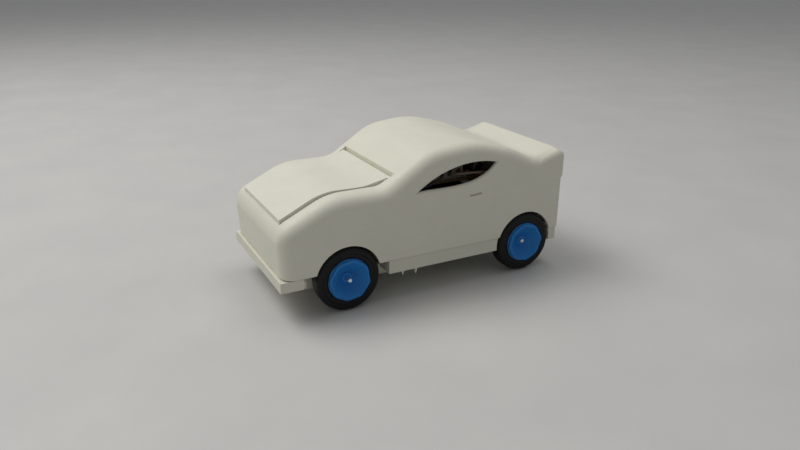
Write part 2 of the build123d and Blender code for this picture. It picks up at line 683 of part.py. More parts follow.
def make_deck():
    places = four_corners(DECK_POST_X, DECK_POST_Y)
    make_posts("deck_standoffs", places, (PLATE_TOP, DECK_Z), 5.0)
    make_screws("deck_screws", places, DECK_Z + DECK_THICKNESS, 7.0)
    with BuildPart() as deck:
        slab((-DECK_HALF, DECK_HALF), DECK_Y, (DECK_Z, DECK_Z + DECK_THICKNESS))
        fillet(deck.edges().filter_by(Axis.Z), 3.0)
        post(places, (DECK_Z - 1, DECK_Z + 5), SCREW_RADIUS, mode=Mode.SUBTRACT)
        with BuildSketch(Plane.XY.offset(DECK_Z)) as slots:
            with Locations((0, -13.0), (0, 10.0)):
                SlotOverall(30.0, 5.0)
        extrude(slots.sketch, amount=DECK_THICKNESS, mode=Mode.SUBTRACT)
    save(deck, "upper_deck")


def make_driver():
    top = DRIVER_Z + BOARD
    corners = four_corners(24.0, (-2.5, 25.0))
    with BuildPart() as board:
        slab((-DRIVER_HALF, DRIVER_HALF), DRIVER_Y, (DRIVER_Z, top))
        fillet(board.edges().filter_by(Axis.Z), 1.5)
        post(corners, (DRIVER_Z - 1, top + 1), SCREW_RADIUS, mode=Mode.SUBTRACT)
    save(board, "driver_board")

    with BuildPart() as spacers:
        post(corners, (DECK_Z + DECK_THICKNESS, DRIVER_Z), 2.4)
        post(corners, (DECK_Z, DRIVER_Z + 1), SCREW_RADIUS, mode=Mode.SUBTRACT)
    save(spacers, "driver_spacers")

    with BuildPart() as chip:
        slab((-9.0, 9.0), (8.0, 18.0), (top, top + 2.4))
    save(chip, "driver_chip")

    with BuildPart() as sink:
        slab((-8.0, 8.0), (7.0, 19.0), (top + 2.4, top + 4.0))
        for fin in range(6):
            x = -8.0 + fin * 3.04
            slab((x, x + 0.8), (7.0, 19.0), (top + 4.0, top + 8.5))
    save(sink, "heat_sink")

    with BuildPart() as terminals:
        for side in (-1, 1):
            block_x = sorted((side * 20.6, side * 27.4))
            slab(block_x, (1.2, 21.6), (top, top + 7.6))
            for slot in range(4):
                y = 3.75 + slot * 5.1
                post([(side * 24.0, y)], (top + 6.0, top + 9), 1.5, mode=Mode.SUBTRACT)
                slab(sorted((side * 25.4, side * 30.0)), (y - 1.2, y + 1.2), (top + 1.4, top + 4.4),
                     mode=Mode.SUBTRACT)
    save(terminals, "terminal_blocks")

    with BuildPart() as capacitors:
        post([(24.2, 30.8), (-24.2, 30.8)], (top, top + 10.0), 3.15)
        fillet(capacitors.faces().group_by(Axis.Z)[-1].edges(), 0.5)
    save(capacitors, "supply_capacitors")

    with BuildPart() as header:
        slab((-15.0, 15.0), (27.5, 30.0), (top, top + 8.5))
        for pin in range(11):
            x = -12.7 + pin * 2.54
            slab((x - 0.4, x + 0.4), (28.35, 29.15), (top + 4.0, top + 9), mode=Mode.SUBTRACT)
    save(header, "driver_header")


def make_controller():
    top = CONTROLLER_Z + BOARD
    places = four_corners(LOCATOR_X, CONTROLLER_POSTS)
    make_posts("controller_standoffs", places, (PLATE_TOP, CONTROLLER_Z), 5.0)
    make_screws("controller_screws", places, top, 6.0)
    with BuildPart() as board:
        slab((-CONTROLLER_HALF, CONTROLLER_HALF), CONTROLLER_Y, (CONTROLLER_Z, top))
        fillet(board.edges().filter_by(Axis.Z), 2.0)
        post(places, (CONTROLLER_Z - 1, top + 1), SCREW_RADIUS, mode=Mode.SUBTRACT)
    save(board, "controller_board")

    with BuildPart() as module:
        slab((-8.0, 8.0), (-50.0, -32.0), (top, top + 3.0))
        fillet(module.edges().filter_by(Axis.Z), 0.8)
    save(module, "microcontroller_module")

    with BuildPart() as usb:
        slab((-4.0, 4.0), (-65.5, -60.0), (top, top + 2.8))
        fillet(usb.edges().filter_by(Axis.Y), 0.8)
        slab((-3.2, 3.2), (-66.0, -61.0), (top + 0.5, top + 2.3), mode=Mode.SUBTRACT)
    save(usb, "usb_socket")

    with BuildPart() as headers:
        for x in (-16.5, 14.0):
            slab((x, x + 2.5), (-57.0, -31.0), (top, top + 8.5))
            for pin in range(10):
                y = -55.4 + pin * 2.54
                hole_x = (x + 0.85, x + 1.65)
                slab(hole_x, (y - 0.4, y + 0.4), (top + 4.0, top + 9), mode=Mode.SUBTRACT)
    save(headers, "controller_headers")


def make_switch():
    with BuildPart() as case:
        slab((-4.3, 4.3), (71.7, 75.0), (16.1, 19.9))
        slab((-2.1, 2.1), (74.0, 76.0), (17.2, 18.8), mode=Mode.SUBTRACT)
    save(case, "power_switch_case")

    with BuildPart() as knob:
        slab((-1.8, -0.3), (74.2, 77.1), (17.35, 18.65))
    save(knob, "power_switch_knob")


if __name__ == "__main__":
    os.makedirs("parts", exist_ok=True)
    make_body_shell()
    make_hood()
    for label, side in (("left", 1), ("right", -1)):
        for end, axle_y in (("front", FRONT_AXLE_Y), ("rear", REAR_AXLE_Y)):
            make_hub(f"hub_{end}_{label}", side, axle_y)
            make_tyre(f"tyre_{end}_{label}", side, axle_y)
        make_rear_axle(f"rear_axle_{label}", side)
        make_axle_gear(f"axle_gear_{label}", side)
        make_motor(label, side)
    make_front_axle()
    make_bushes()
    make_motor_clamp()
    make_tray()
    make_battery()
    make_deck()
    make_driver()
    make_controller()
    make_switch()
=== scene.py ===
"""A small printed robot car on a pale table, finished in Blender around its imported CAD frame."""

import json
import math

import bmesh
import bpy
from mathutils import Matrix, Vector, noise


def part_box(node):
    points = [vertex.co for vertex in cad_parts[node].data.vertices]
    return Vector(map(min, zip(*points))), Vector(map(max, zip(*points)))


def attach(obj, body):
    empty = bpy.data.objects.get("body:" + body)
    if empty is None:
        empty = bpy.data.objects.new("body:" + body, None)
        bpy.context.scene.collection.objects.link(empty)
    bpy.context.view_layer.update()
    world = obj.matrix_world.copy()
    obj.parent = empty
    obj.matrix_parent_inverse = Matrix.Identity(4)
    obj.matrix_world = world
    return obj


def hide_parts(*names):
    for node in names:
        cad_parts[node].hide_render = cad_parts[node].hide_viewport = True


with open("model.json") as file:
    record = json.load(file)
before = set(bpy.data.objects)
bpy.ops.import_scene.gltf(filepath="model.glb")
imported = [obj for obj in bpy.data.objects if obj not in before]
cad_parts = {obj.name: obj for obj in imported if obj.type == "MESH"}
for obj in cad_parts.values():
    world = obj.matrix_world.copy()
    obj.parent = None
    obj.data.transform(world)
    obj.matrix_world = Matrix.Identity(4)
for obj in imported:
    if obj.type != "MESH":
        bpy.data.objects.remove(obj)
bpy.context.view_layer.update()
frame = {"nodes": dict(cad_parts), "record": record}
nodes = frame["nodes"]
scene = bpy.context.scene

MM = 0.001
SIDES = (("left", 1), ("right", -1))
X, Y, Z = Vector((1, 0, 0)), Vector((0, 1, 0)), Vector((0, 0, 1))


# --- materials ---------------------------------------------------------------------

COLOUR_MIX_INPUTS = (0, 6, 7)
COLOUR_MIX_OUTPUT = 2


class Finish:
    """A principled material, with short calls that put nodes in front of it. Lengths are in millimetres."""

    def __init__(self, name, **sockets):
        self.material = bpy.data.materials.new(name)
        self.material.use_nodes = True
        self.tree = self.material.node_tree
        self.shader = self.tree.nodes["Principled BSDF"]
        for socket, value in sockets.items():
            self.shader.inputs[socket.replace("_", " ")].default_value = value
        self.place = self.tree.nodes.new("ShaderNodeTexCoord").outputs["Object"]
        self.normal = None

    def feed(self, socket, value):
        """Links a node's output to a socket, or sets a plain number or colour on it."""
        if isinstance(value, bpy.types.NodeSocket):
            self.tree.links.new(value, socket)
        elif isinstance(value, tuple) and len(value) == 3:
            socket.default_value = (*value, 1.0)
        else:
            socket.default_value = value

    def math(self, operation, first, second=0.0, third=0.0):
        node = self.tree.nodes.new("ShaderNodeMath")
        node.operation = operation
        for socket, value in zip(node.inputs, (first, second, third)):
            self.feed(socket, value)
        return node.outputs[0]

    def coordinate(self, axis):
        split = self.tree.nodes.new("ShaderNodeSeparateXYZ")
        self.tree.links.new(self.place, split.inputs[0])
        return split.outputs[axis]

    def noise(self, size, detail=3.0, stretch=(1.0, 1.0, 1.0), rough=0.5):
        """Noise with features of about this size; a large stretch draws it out along that axis."""
        scaled = self.tree.nodes.new("ShaderNodeMapping")
        scaled.inputs["Scale"].default_value = [1 / (size * MM * s) for s in stretch]
        self.tree.links.new(self.place, scaled.inputs["Vector"])
        node = self.tree.nodes.new("ShaderNodeTexNoise")
        node.inputs["Scale"].default_value = 1.0
        node.inputs["Detail"].default_value = detail
        node.inputs["Roughness"].default_value = rough
        self.tree.links.new(scaled.outputs[0], node.inputs["Vector"])
        return node.outputs[0]

    def cells(self, size):
        """Distance to the edge of uneven cells of about this size."""
        scaled = self.tree.nodes.new("ShaderNodeMapping")
        scaled.inputs["Scale"].default_value = [1 / (size * MM)] * 3
        self.tree.links.new(self.place, scaled.inputs["Vector"])
        node = self.tree.nodes.new("ShaderNodeTexVoronoi")
        node.feature = "DISTANCE_TO_EDGE"
        node.inputs["Scale"].default_value = 1.0
        self.tree.links.new(scaled.outputs[0], node.inputs["Vector"])
        return node.outputs[0]

    def waves(self, axis, pitch):
        """Smooth ridges across an axis, one every pitch, from 0 to 1."""
        turn = self.math("MULTIPLY", self.coordinate(axis), 2 * math.pi / (pitch * MM))
        return self.math("MULTIPLY_ADD", self.math("SINE", turn), 0.5, 0.5)

    def fit(self, value, low, high, start, end):
        """Maps the range from low to high onto the range from start to end, and stops at both ends."""
        node = self.tree.nodes.new("ShaderNodeMapRange")
        for socket, part in zip(node.inputs, (value, low, high, start, end)):
            self.feed(socket, part)
        return node.outputs[0]

    def mix(self, factor, first, second):
        node = self.tree.nodes.new("ShaderNodeMix")
        node.data_type = "RGBA"
        factor_in, first_in, second_in = (node.inputs[i] for i in COLOUR_MIX_INPUTS)
        self.feed(factor_in, factor)
        self.feed(first_in, first)
        self.feed(second_in, second)
        return node.outputs[COLOUR_MIX_OUTPUT]

    def colour(self, value):
        self.feed(self.shader.inputs["Base Color"], value)

    def rough(self, value):
        self.feed(self.shader.inputs["Roughness"], value)

    def bump(self, height, depth):
        """Relief of that depth, on top of any relief already there."""
        node = self.tree.nodes.new("ShaderNodeBump")
        node.inputs["Strength"].default_value = 1.0
        node.inputs["Distance"].default_value = depth * MM
        self.tree.links.new(height, node.inputs["Height"])
        if self.normal is not None:
            self.tree.links.new(self.normal, node.inputs["Normal"])
        self.normal = node.outputs[0]
        self.tree.links.new(self.normal, self.shader.inputs["Normal"])


def shade(colour, share):
    return tuple(c * share for c in colour)


def printed(name, colour, axis, pitch=0.2, glow=0.06):
    """Printed plastic: layer lines across the axis, uneven layers, faint mottling and specks."""
    f = Finish(name, IOR=1.46, Subsurface_Weight=glow, Subsurface_Scale=1.2 * MM)
    along = [1.0 if letter == axis else 60.0 for letter in "XYZ"]
    bands = f.noise(0.9, 2.0, along)
    cloud = f.noise(14.0, 3.0)
    specks = f.noise(0.55, 2.0)
    base = f.mix(f.fit(bands, 0.3, 0.7, 0.0, 1.0), shade(colour, 0.985), shade(colour, 1.01))
    base = f.mix(f.fit(cloud, 0.35, 0.75, 0.0, 0.6), base, shade(colour, 0.94))
    base = f.mix(f.fit(specks, 0.72, 0.8, 0.0, 0.55), base, shade(colour, 0.78))
    f.colour(base)
    f.rough(f.fit(f.noise(3.0, 3.0), 0.3, 0.7, 0.44, 0.60))
    f.bump(f.waves(axis, pitch), 0.006)
    f.bump(bands, 0.008)
    f.bump(f.noise(9.0, 2.0), 0.12)
    return f.material


def moulded(name, colour, roughness=0.45, grain=0.25, depth=0.01, **sockets):
    """Moulded plastic or epoxy: fine grain, faint flow marks and a little dust in the colour."""
    f = Finish(name, **sockets)
    marks = f.fit(f.noise(4.0, 4.0), 0.35, 0.7, 0.0, 1.0)
    f.colour(f.mix(marks, shade(colour, 0.85), shade(colour, 1.2)))
    f.rough(f.fit(f.noise(1.6, 3.0), 0.3, 0.7, roughness - 0.08, roughness + 0.1))
    f.bump(f.noise(grain, 2.0), depth)
    return f.material


def rubber(name):
    """Soft black rubber: fine pores, wear on the tread and grey dust caught in patches."""
    f = Finish(name, IOR=1.5, Specular_IOR_Level=0.28)
    dust = f.fit(f.noise(2.4, 5.0, rough=0.65), 0.52, 0.78, 0.0, 1.0)
    fine = f.fit(f.noise(0.35, 2.0), 0.55, 0.8, 0.0, 0.5)
    base = f.mix(dust, (0.0035, 0.004, 0.0055), (0.012, 0.0125, 0.0145))
    f.colour(f.mix(fine, base, (0.02, 0.02, 0.021)))
    f.rough(f.fit(dust, 0.0, 1.0, 0.48, 0.8))
    f.bump(f.noise(0.3, 3.0), 0.03)
    f.bump(f.noise(2.6, 2.0), 0.05)
    return f.material


def metal(name, colour, roughness=0.25, grain=0.12, stretch=(1.0, 1.0, 1.0), depth=0.004):
    """Bare or plated metal: drawn or turned grain, uneven polish and faint tarnish."""
    f = Finish(name, Metallic=1.0)
    lines = f.noise(grain, 3.0, stretch)
    tarnish = f.fit(f.noise(2.2, 4.0), 0.45, 0.75, 0.0, 1.0)
    f.colour(f.mix(tarnish, colour, shade(colour, 0.72)))
    f.rough(f.fit(lines, 0.3, 0.7, roughness - 0.07, roughness + 0.12))
    f.bump(lines, depth)
    return f.material


def laminate(name, colour, cloth=0.35):
    """Circuit board: glass weave under lacquer, with darker and lighter fields where copper lies below."""
    f = Finish(name, Coat_Weight=0.3, Coat_Roughness=0.12)
    warp = f.waves("X", cloth)
    weft = f.waves("Y", cloth)
    weave = f.math("MULTIPLY", warp, weft)
    copper = f.fit(f.cells(3.2), 0.02, 0.05, 0.0, 1.0)
    base = f.mix(weave, shade(colour, 0.85), shade(colour, 1.1))
    base = f.mix(copper, shade(colour, 0.55), base)
    f.colour(base)
    f.rough(f.fit(f.noise(2.0), 0.3, 0.7, 0.28, 0.42))
    f.bump(weave, 0.006)
    f.bump(copper, 0.02)
    return f.material


ALONG_X = (40.0, 1.0, 1.0)
ROUND_X = (1.0, 40.0, 40.0)
finishes = {
    "white_print": printed("white_print", (0.765, 0.755, 0.645), "Z"),
    "hood_print": printed("hood_print", (0.78, 0.775, 0.67), "Z"),
    "tray_print": printed("tray_print", (0.75, 0.74, 0.63), "Z"),
    "hub_blue": printed("hub_blue", (0.008, 0.19, 0.56), "X", 0.25, 0.02),
    "tyre_rubber": rubber("tyre_rubber"),
    "axle_steel": metal("axle_steel", (0.86, 0.87, 0.88), 0.30, 0.05, ROUND_X),
    "pin_steel": metal("pin_steel", (0.66, 0.66, 0.68), 0.22, 0.05, ROUND_X),
    "screw_steel": metal("screw_steel", (0.60, 0.61, 0.64), 0.30, 0.2),
    "bush_brass": metal("bush_brass", (0.78, 0.57, 0.26), 0.28, 0.05, ROUND_X),
    "pinion_brass": metal("pinion_brass", (0.80, 0.60, 0.28), 0.26, 0.05, ALONG_X),
    "gear_nylon": printed("gear_nylon", (0.74, 0.72, 0.62), "X", 0.3, 0.15),
    "motor_steel": metal("motor_steel", (0.62, 0.63, 0.65), 0.27, 0.08, (30.0, 1.0, 1.0)),
    "motor_cap": moulded("motor_cap", (0.03, 0.03, 0.032), 0.42),
    "holder_black": moulded("holder_black", (0.022, 0.022, 0.025), 0.5, 0.4, 0.02),
    "cell_wrap": moulded("cell_wrap", (0.05, 0.16, 0.10), 0.24, 2.5, 0.02, Coat_Weight=0.4),
    "contact_steel": metal("contact_steel", (0.66, 0.66, 0.63), 0.22, 0.2),
    "deck_black": moulded("deck_black", (0.012, 0.012, 0.014), 0.16, 1.2, 0.004, Coat_Weight=0.2),
    "standoff_brass": metal("standoff_brass", (0.78, 0.58, 0.28), 0.24, 0.06, (40.0, 40.0, 1.0)),
    "board_brown": laminate("board_brown", (0.13, 0.085, 0.035)),
    "board_green": laminate("board_green", (0.012, 0.10, 0.055)),
    "chip_black": moulded("chip_black", (0.018, 0.018, 0.019), 0.55, 0.12, 0.01),
    "sink_aluminium": metal("sink_aluminium", (0.50, 0.51, 0.53), 0.36, 0.07, (1.0, 40.0, 1.0)),
    "terminal_grey": moulded("terminal_grey", (0.17, 0.15, 0.12), 0.45, 0.3, 0.015),
    "capacitor_sleeve": moulded("capacitor_sleeve", (0.012, 0.012, 0.016), 0.22, 1.5, 0.01),
    "header_black": moulded("header_black", (0.016, 0.016, 0.017), 0.42, 0.2, 0.01),
    "module_shield": metal("module_shield", (0.58, 0.58, 0.55), 0.30, 0.3),
    "spacer_white": moulded("spacer_white", (0.68, 0.68, 0.64), 0.4, 0.3, 0.01),
    "switch_case": metal("switch_case", (0.55, 0.55, 0.55), 0.28, 0.15),
    "switch_knob": moulded("switch_knob", (0.02, 0.02, 0.02), 0.38, 0.2, 0.01),
    "wire_brown": moulded("wire_brown", (0.20, 0.055, 0.028), 0.38, 0.3, 0.01),
    "wire_grey": moulded("wire_grey", (0.15, 0.125, 0.09), 0.38, 0.3, 0.01),
    "wire_red": moulded("wire_red", (0.36, 0.018, 0.014), 0.36, 0.3, 0.01),
    "wire_black": moulded("wire_black", (0.014, 0.014, 0.016), 0.36, 0.3, 0.01),
}

for part in frame["record"]["subparts"]:
    for holder in nodes[part["node"]].material_slots:
        holder.material = finishes[part["material_slot"]]


# --- mesh helpers ---------------------------------------------------------------------

MERGE_REACH = 0.0005 * MM


def piece(name, body, slot, shape, replaced=(), smooth_angle=35):
    """Turns a bmesh into a piece that rides on a body and stands for the replaced nodes."""
    bmesh.ops.remove_doubles(shape, verts=shape.verts, dist=MERGE_REACH)
    bmesh.ops.recalc_face_normals(shape, faces=shape.faces)
    mesh = bpy.data.meshes.new(name)
    shape.to_mesh(mesh)
    shape.free()
    mesh.materials.append(finishes[slot])
    mesh.shade_smooth()
    mesh.set_sharp_from_angle(angle=math.radians(smooth_angle))
    made = bpy.data.objects.new(name, mesh)
    scene.collection.objects.link(made)
    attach(made, body)
    if replaced:
        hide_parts(*replaced)
    return made


def lathe(shape, start, axis, profile, steps=96, shift=None):
    """Turns a profile of (distance along axis, radius) pairs about an axis, in millimetres.

    shift(point, angle, index) returns the point after any unevenness; index is the profile point's."""
    side = axis.orthogonal().normalized()
    up = axis.cross(side)
    rings = []
    for step in range(steps):
        angle = 2 * math.pi * step / steps
        out = side * math.cos(angle) + up * math.sin(angle)
        ring = []
        for index, (along, radius) in enumerate(profile):
            point = start + axis * along + out * radius
            if shift:
                point = shift(point, angle, index)
            ring.append(shape.verts.new(point * MM))
        rings.append(ring)
    for ring, after in zip(rings, rings[1:] + rings[:1]):
        for i in range(len(profile) - 1):
            shape.faces.new((ring[i], after[i], after[i + 1], ring[i + 1]))


def arc(centre, radius, start, end, count=5):
    """Points on an arc of a profile, angles in degrees."""
    turns = [math.radians(start + (end - start) * i / count) for i in range(count + 1)]
    return [(centre[0] + radius * math.cos(t), centre[1] + radius * math.sin(t)) for t in turns]


def block(shape, centre, size, bevel=0.12, turn=0.0):
    """Box with softened edges, turned about Z by an angle in degrees."""
    place = Matrix.Translation(Vector(centre) * MM) @ Matrix.Rotation(math.radians(turn), 4, "Z")
    stretch = Matrix.Diagonal((*(Vector(size) * MM), 1))
    made = bmesh.ops.create_cube(shape, size=1.0, matrix=place @ stretch)
    if bevel:
        edges = list({e for v in made["verts"] for e in v.link_edges})
        bmesh.ops.bevel(shape, geom=edges, offset=bevel * MM, segments=2, affect="EDGES", profile=0.7)


# --- wheels ------------------------------------------------------------------------------

AXLE_Z = 15.9
TYRE_RADIUS = 15.9
TYRE_INNER, TYRE_FACE = 28.1, 36.7
SHOULDER = 1.8
SEAT = 10.4
LIP_TOP = 38.2
LIP_BASE = 10.5
LIP_SIDES = 8
LIP_REACH = 9.85
LIP_SHARPNESS = 20
DISH_STEPS = 18
HUB_TURNS = {"front": 0.2, "rear": 0.5}


def lip_radius(angle, turned):
    """Radius of the lip: an uneven polygon with softened corners."""
    total = 0.0
    for k in range(LIP_SIDES):
        jitter = noise.noise(Vector((k * 3.7, turned, 0.0)))
        facing = 2 * math.pi * (k + 0.16 * jitter) / LIP_SIDES + turned
        reach = LIP_REACH + 0.22 * noise.noise(Vector((k * 5.1, turned, 7.0)))
        total += max(0.0, math.cos(angle - facing) / reach) ** LIP_SHARPNESS
    return total ** (-1 / LIP_SHARPNESS)


def wheel_body(end, label):
    return "front_wheels" if end == "front" else f"rear_{label}_wheel"


def make_tyre(end, label, side, axle_y):
    """Tyre with rounded shoulders, a slight crown, a bead groove in its face and an uneven tread."""
    axis = X * side
    start = Vector((0, axle_y, AXLE_Z))
    tread_start = TYRE_INNER + SHOULDER
    crown = [(tread_start + 5.0 * i / 8, TYRE_RADIUS - 0.10 * abs(i - 4) / 4) for i in range(1, 8)]
    profile = [(TYRE_INNER + 0.5, SEAT), (TYRE_INNER, SEAT + 0.45), (TYRE_INNER, 13.4)]
    profile += arc((tread_start, TYRE_RADIUS - SHOULDER - 0.1), SHOULDER, 180, 90, 7)
    profile += crown
    profile += arc((TYRE_FACE - SHOULDER, TYRE_RADIUS - SHOULDER - 0.1), SHOULDER, 90, 0, 7)
    groove = TYRE_FACE - 0.16
    profile += [(TYRE_FACE, 13.3), (groove, 13.1), (groove, 12.85), (TYRE_FACE, 12.65)]
    profile += [(TYRE_FACE + 0.04, 11.9), (TYRE_FACE - 0.02, SEAT + 0.7), (TYRE_FACE - 0.35, SEAT)]
    profile += [(TYRE_FACE - 4.0, SEAT - 0.02), (TYRE_INNER + 0.5, SEAT)]

    def uneven(point, angle, index):
        out = Vector((0, point.y - axle_y, point.z - AXLE_Z)).normalized()
        return point - out * 0.05 * (0.5 + 0.5 * noise.noise(point * 0.35 + axis * 9))

    shape = bmesh.new()
    lathe(shape, start, axis, profile, 160, uneven)
    name = f"tyre_{end}_{label}"
    piece(f"soft_{name}", wheel_body(end, label), "tyre_rubber", shape, [name])


def make_hub(end, label, side, axle_y, turned):
    """Printed hub: a dished face inside an uneven, many-sided lip, and a boss around the axle."""
    axis = X * side
    start = Vector((0, axle_y, AXLE_Z))
    profile = [(26.1, 1.0), (26.1, 2.6), (26.3, 2.8), (31.4, 2.8), (34.6, 8.8), (34.3, 9.0)]
    profile += [(28.7, 9.0), (28.5, 9.2), (28.5, 10.2), (28.7, SEAT), (TYRE_FACE - 0.3, SEAT)]
    lip_start = len(profile)
    profile += [(TYRE_FACE + 0.05, 10.35), (TYRE_FACE + 0.25, LIP_BASE), (LIP_TOP - 0.4, LIP_BASE)]
    profile += [(LIP_TOP - 0.12, 10.38), (LIP_TOP, 10.15), (LIP_TOP, 9.35), (LIP_TOP - 0.15, 9.15)]
    lip_end = len(profile)
    for i in range(DISH_STEPS + 1):
        ring = 0.07 * (i % 3 == 1)
        share = i / DISH_STEPS
        profile.append((LIP_TOP - 0.5 - 4.0 * share + ring, 8.95 - 5.2 * share))
    dish_end = len(profile)
    profile += [(33.5, 3.45), (33.55, 3.0), (34.3, 2.6), (34.45, 2.3), (34.45, 1.35), (34.3, 1.0)]
    profile.append((26.1, 1.0))

    def uneven(point, angle, index):
        out = Vector((0, point.y - axle_y, point.z - AXLE_Z)).normalized()
        wave = Vector((math.cos(angle), math.sin(angle), turned))
        if lip_start <= index < dish_end:
            share = 1.0 if index < lip_end else 1.0 - (index - lip_end) / (dish_end - lip_end)
            ragged = 0.13 * noise.noise(wave * 8) + 0.16 * noise.noise(wave * 3)
            point = point + out * share * (lip_radius(angle, turned) - LIP_BASE + ragged)
        if lip_start < index < lip_end:
            point = point + axis * (-0.12 + 0.12 * noise.noise(wave * 5))
        return point

    shape = bmesh.new()
    lathe(shape, start, axis, profile, 192, uneven)
    name = f"hub_{end}_{label}"
    piece(f"printed_{name}", wheel_body(end, label), "hub_blue", shape, [name], 40)


for label, side in SIDES:
    for end in ("front", "rear"):
        low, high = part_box(f"tyre_{end}_{label}")
        axle_y = (low.y + high.y) / 2 / MM
        make_tyre(end, label, side, axle_y)
        make_hub(end, label, side, axle_y, HUB_TURNS[end] + (0 if side > 0 else 1.3))


# --- electronics, cells and wires ---------------------------------------------------------

TERMINAL_X = 24.0
TERMINAL_Y = 3.75
TERMINAL_PITCH = 5.1
MOUTH_X = 28.6
MOUTH_LIFT = 2.9
CLAMP_X = 26.0
WIRE_RADIUS = 0.55
PIN_PITCH = 2.54
SURFACE_PART = (1.2, 1.1, 0.5)
SURFACE_CAP = (0.42, 1.14, 0.54)
COIL_TURNS, COIL_STEPS = 2.6, 60


def terminal_y(k):
    return TERMINAL_Y + TERMINAL_PITCH * k


def top_of(node):
    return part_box(node)[1].z / MM


def centre_of(node):
    low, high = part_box(node)
    return (low + high) / 2 / MM


def prism(shape, outline, low, high):
    """Upright solid between two heights, from an outline of (x, y) points."""
    rows = [[shape.verts.new(Vector((x, y, z)) * MM) for x, y in outline] for z in (low, high)]
    shape.faces.new(rows[0][::-1])
    shape.faces.new(rows[1])
    for i in range(len(outline)):
        j = (i + 1) % len(outline)
        shape.faces.new((rows[0][i], rows[0][j], rows[1][j], rows[1][i]))


def disc(shape, base, radius, height, axis=Z, bevel=0.1):
    """Round solid that grows from its base along an axis."""
    profile = [(0, 0), (0, radius), (height - bevel, radius), (height, radius - bevel), (height, 0)]
    lathe(shape, Vector(base), axis, profile, 28)


def sector(centre, radius, start, end, count=10):
    """Points of an arc in the XY plane, angles in radians."""
    turns = [start + (end - start) * i / count for i in range(count + 1)]
    return [(centre[0] + radius * math.cos(t), centre[1] + radius * math.sin(t)) for t in turns]


def slotted_head(shape, x, y, z, radius, height, turn):
    """Screw head as a disc with two half moons on it, which leave the slot between them."""
    disc(shape, (x, y, z), radius, height / 2, bevel=0.0)
    for flip in (turn, turn + math.pi):
        moon = sector((x, y), radius, flip + 0.2, flip + math.pi - 0.2)
        prism(shape, moon, z + height / 2, z + height)


def smooth_path(points, per_span=7):
    """Points of a rounded curve that runs through the given ones."""
    ends = [Vector(p) for p in (points[0], *points, points[-1])]
    path = []
    for a, b, c, d in zip(ends, ends[1:], ends[2:], ends[3:]):
        square = 2 * a - 5 * b + 4 * c - d
        cube = 3 * b - a - 3 * c + d
        for i in range(per_span):
            t = i / per_span
            path.append(0.5 * (2 * b + (c - a) * t + square * t ** 2 + cube * t ** 3))
    return path + [ends[-1]]


def tube(shape, path, radius, steps=10, taper=1.0):
    """Round wire along a path, closed at both ends; taper is the far end's share of the radius."""
    path = [Vector(p) for p in path]
    out = (path[1] - path[0]).orthogonal().normalized()
    rings = []
    for i, point in enumerate(path):
        along = (path[min(i + 1, len(path) - 1)] - path[max(i - 1, 0)]).normalized()
        out = (out - along * out.dot(along)).normalized()
        up = along.cross(out)
        reach = radius * (1 + (taper - 1) * i / (len(path) - 1))
        ring = []
        for k in range(steps):
            turn = 2 * math.pi * k / steps
            ring.append(shape.verts.new((point + (out * math.cos(turn) + up * math.sin(turn)) * reach) * MM))
        rings.append(ring)
    for ring, after in zip(rings, rings[1:]):
        for k in range(steps):
            shape.faces.new((ring[k], ring[(k + 1) % steps], after[(k + 1) % steps], after[k]))
    shape.faces.new(rings[0][::-1])
    shape.faces.new(rings[-1])


def surface_parts(dark, pale, top, columns, rows, keep_out):
    """Small resistors and capacitors in a loose grid on a board.

    keep_out lists the larger parts as (centre x, centre y, half width, half height)."""
    for x in columns:
        for y in rows:
            if any(abs(x - cx) < w and abs(y - cy) < h for cx, cy, w, h in keep_out):
                continue
            turn = 90 * (noise.noise(Vector((x, y, 2.5))) > 0.05)
            spot = Vector((x + 0.5 * noise.noise(Vector((x, y, 0.5))), y, top + 0.28))
            along = Y if turn else X
            block(dark, spot, SURFACE_PART, 0.04, turn)
            for way in (-1, 1):
                block(pale, spot + along * 0.78 * way, SURFACE_CAP, 0.05, turn)


def header_contacts(shape, x, y, top, turn=0.0):
    """The two leaves of one socket contact, seen down its hole."""
    along = Y if turn else X
    for way in (-1, 1):
        block(shape, Vector((x, y, top - 2.4)) + along * 0.27 * way, (0.14, 0.5, 3.6), 0.03, turn)


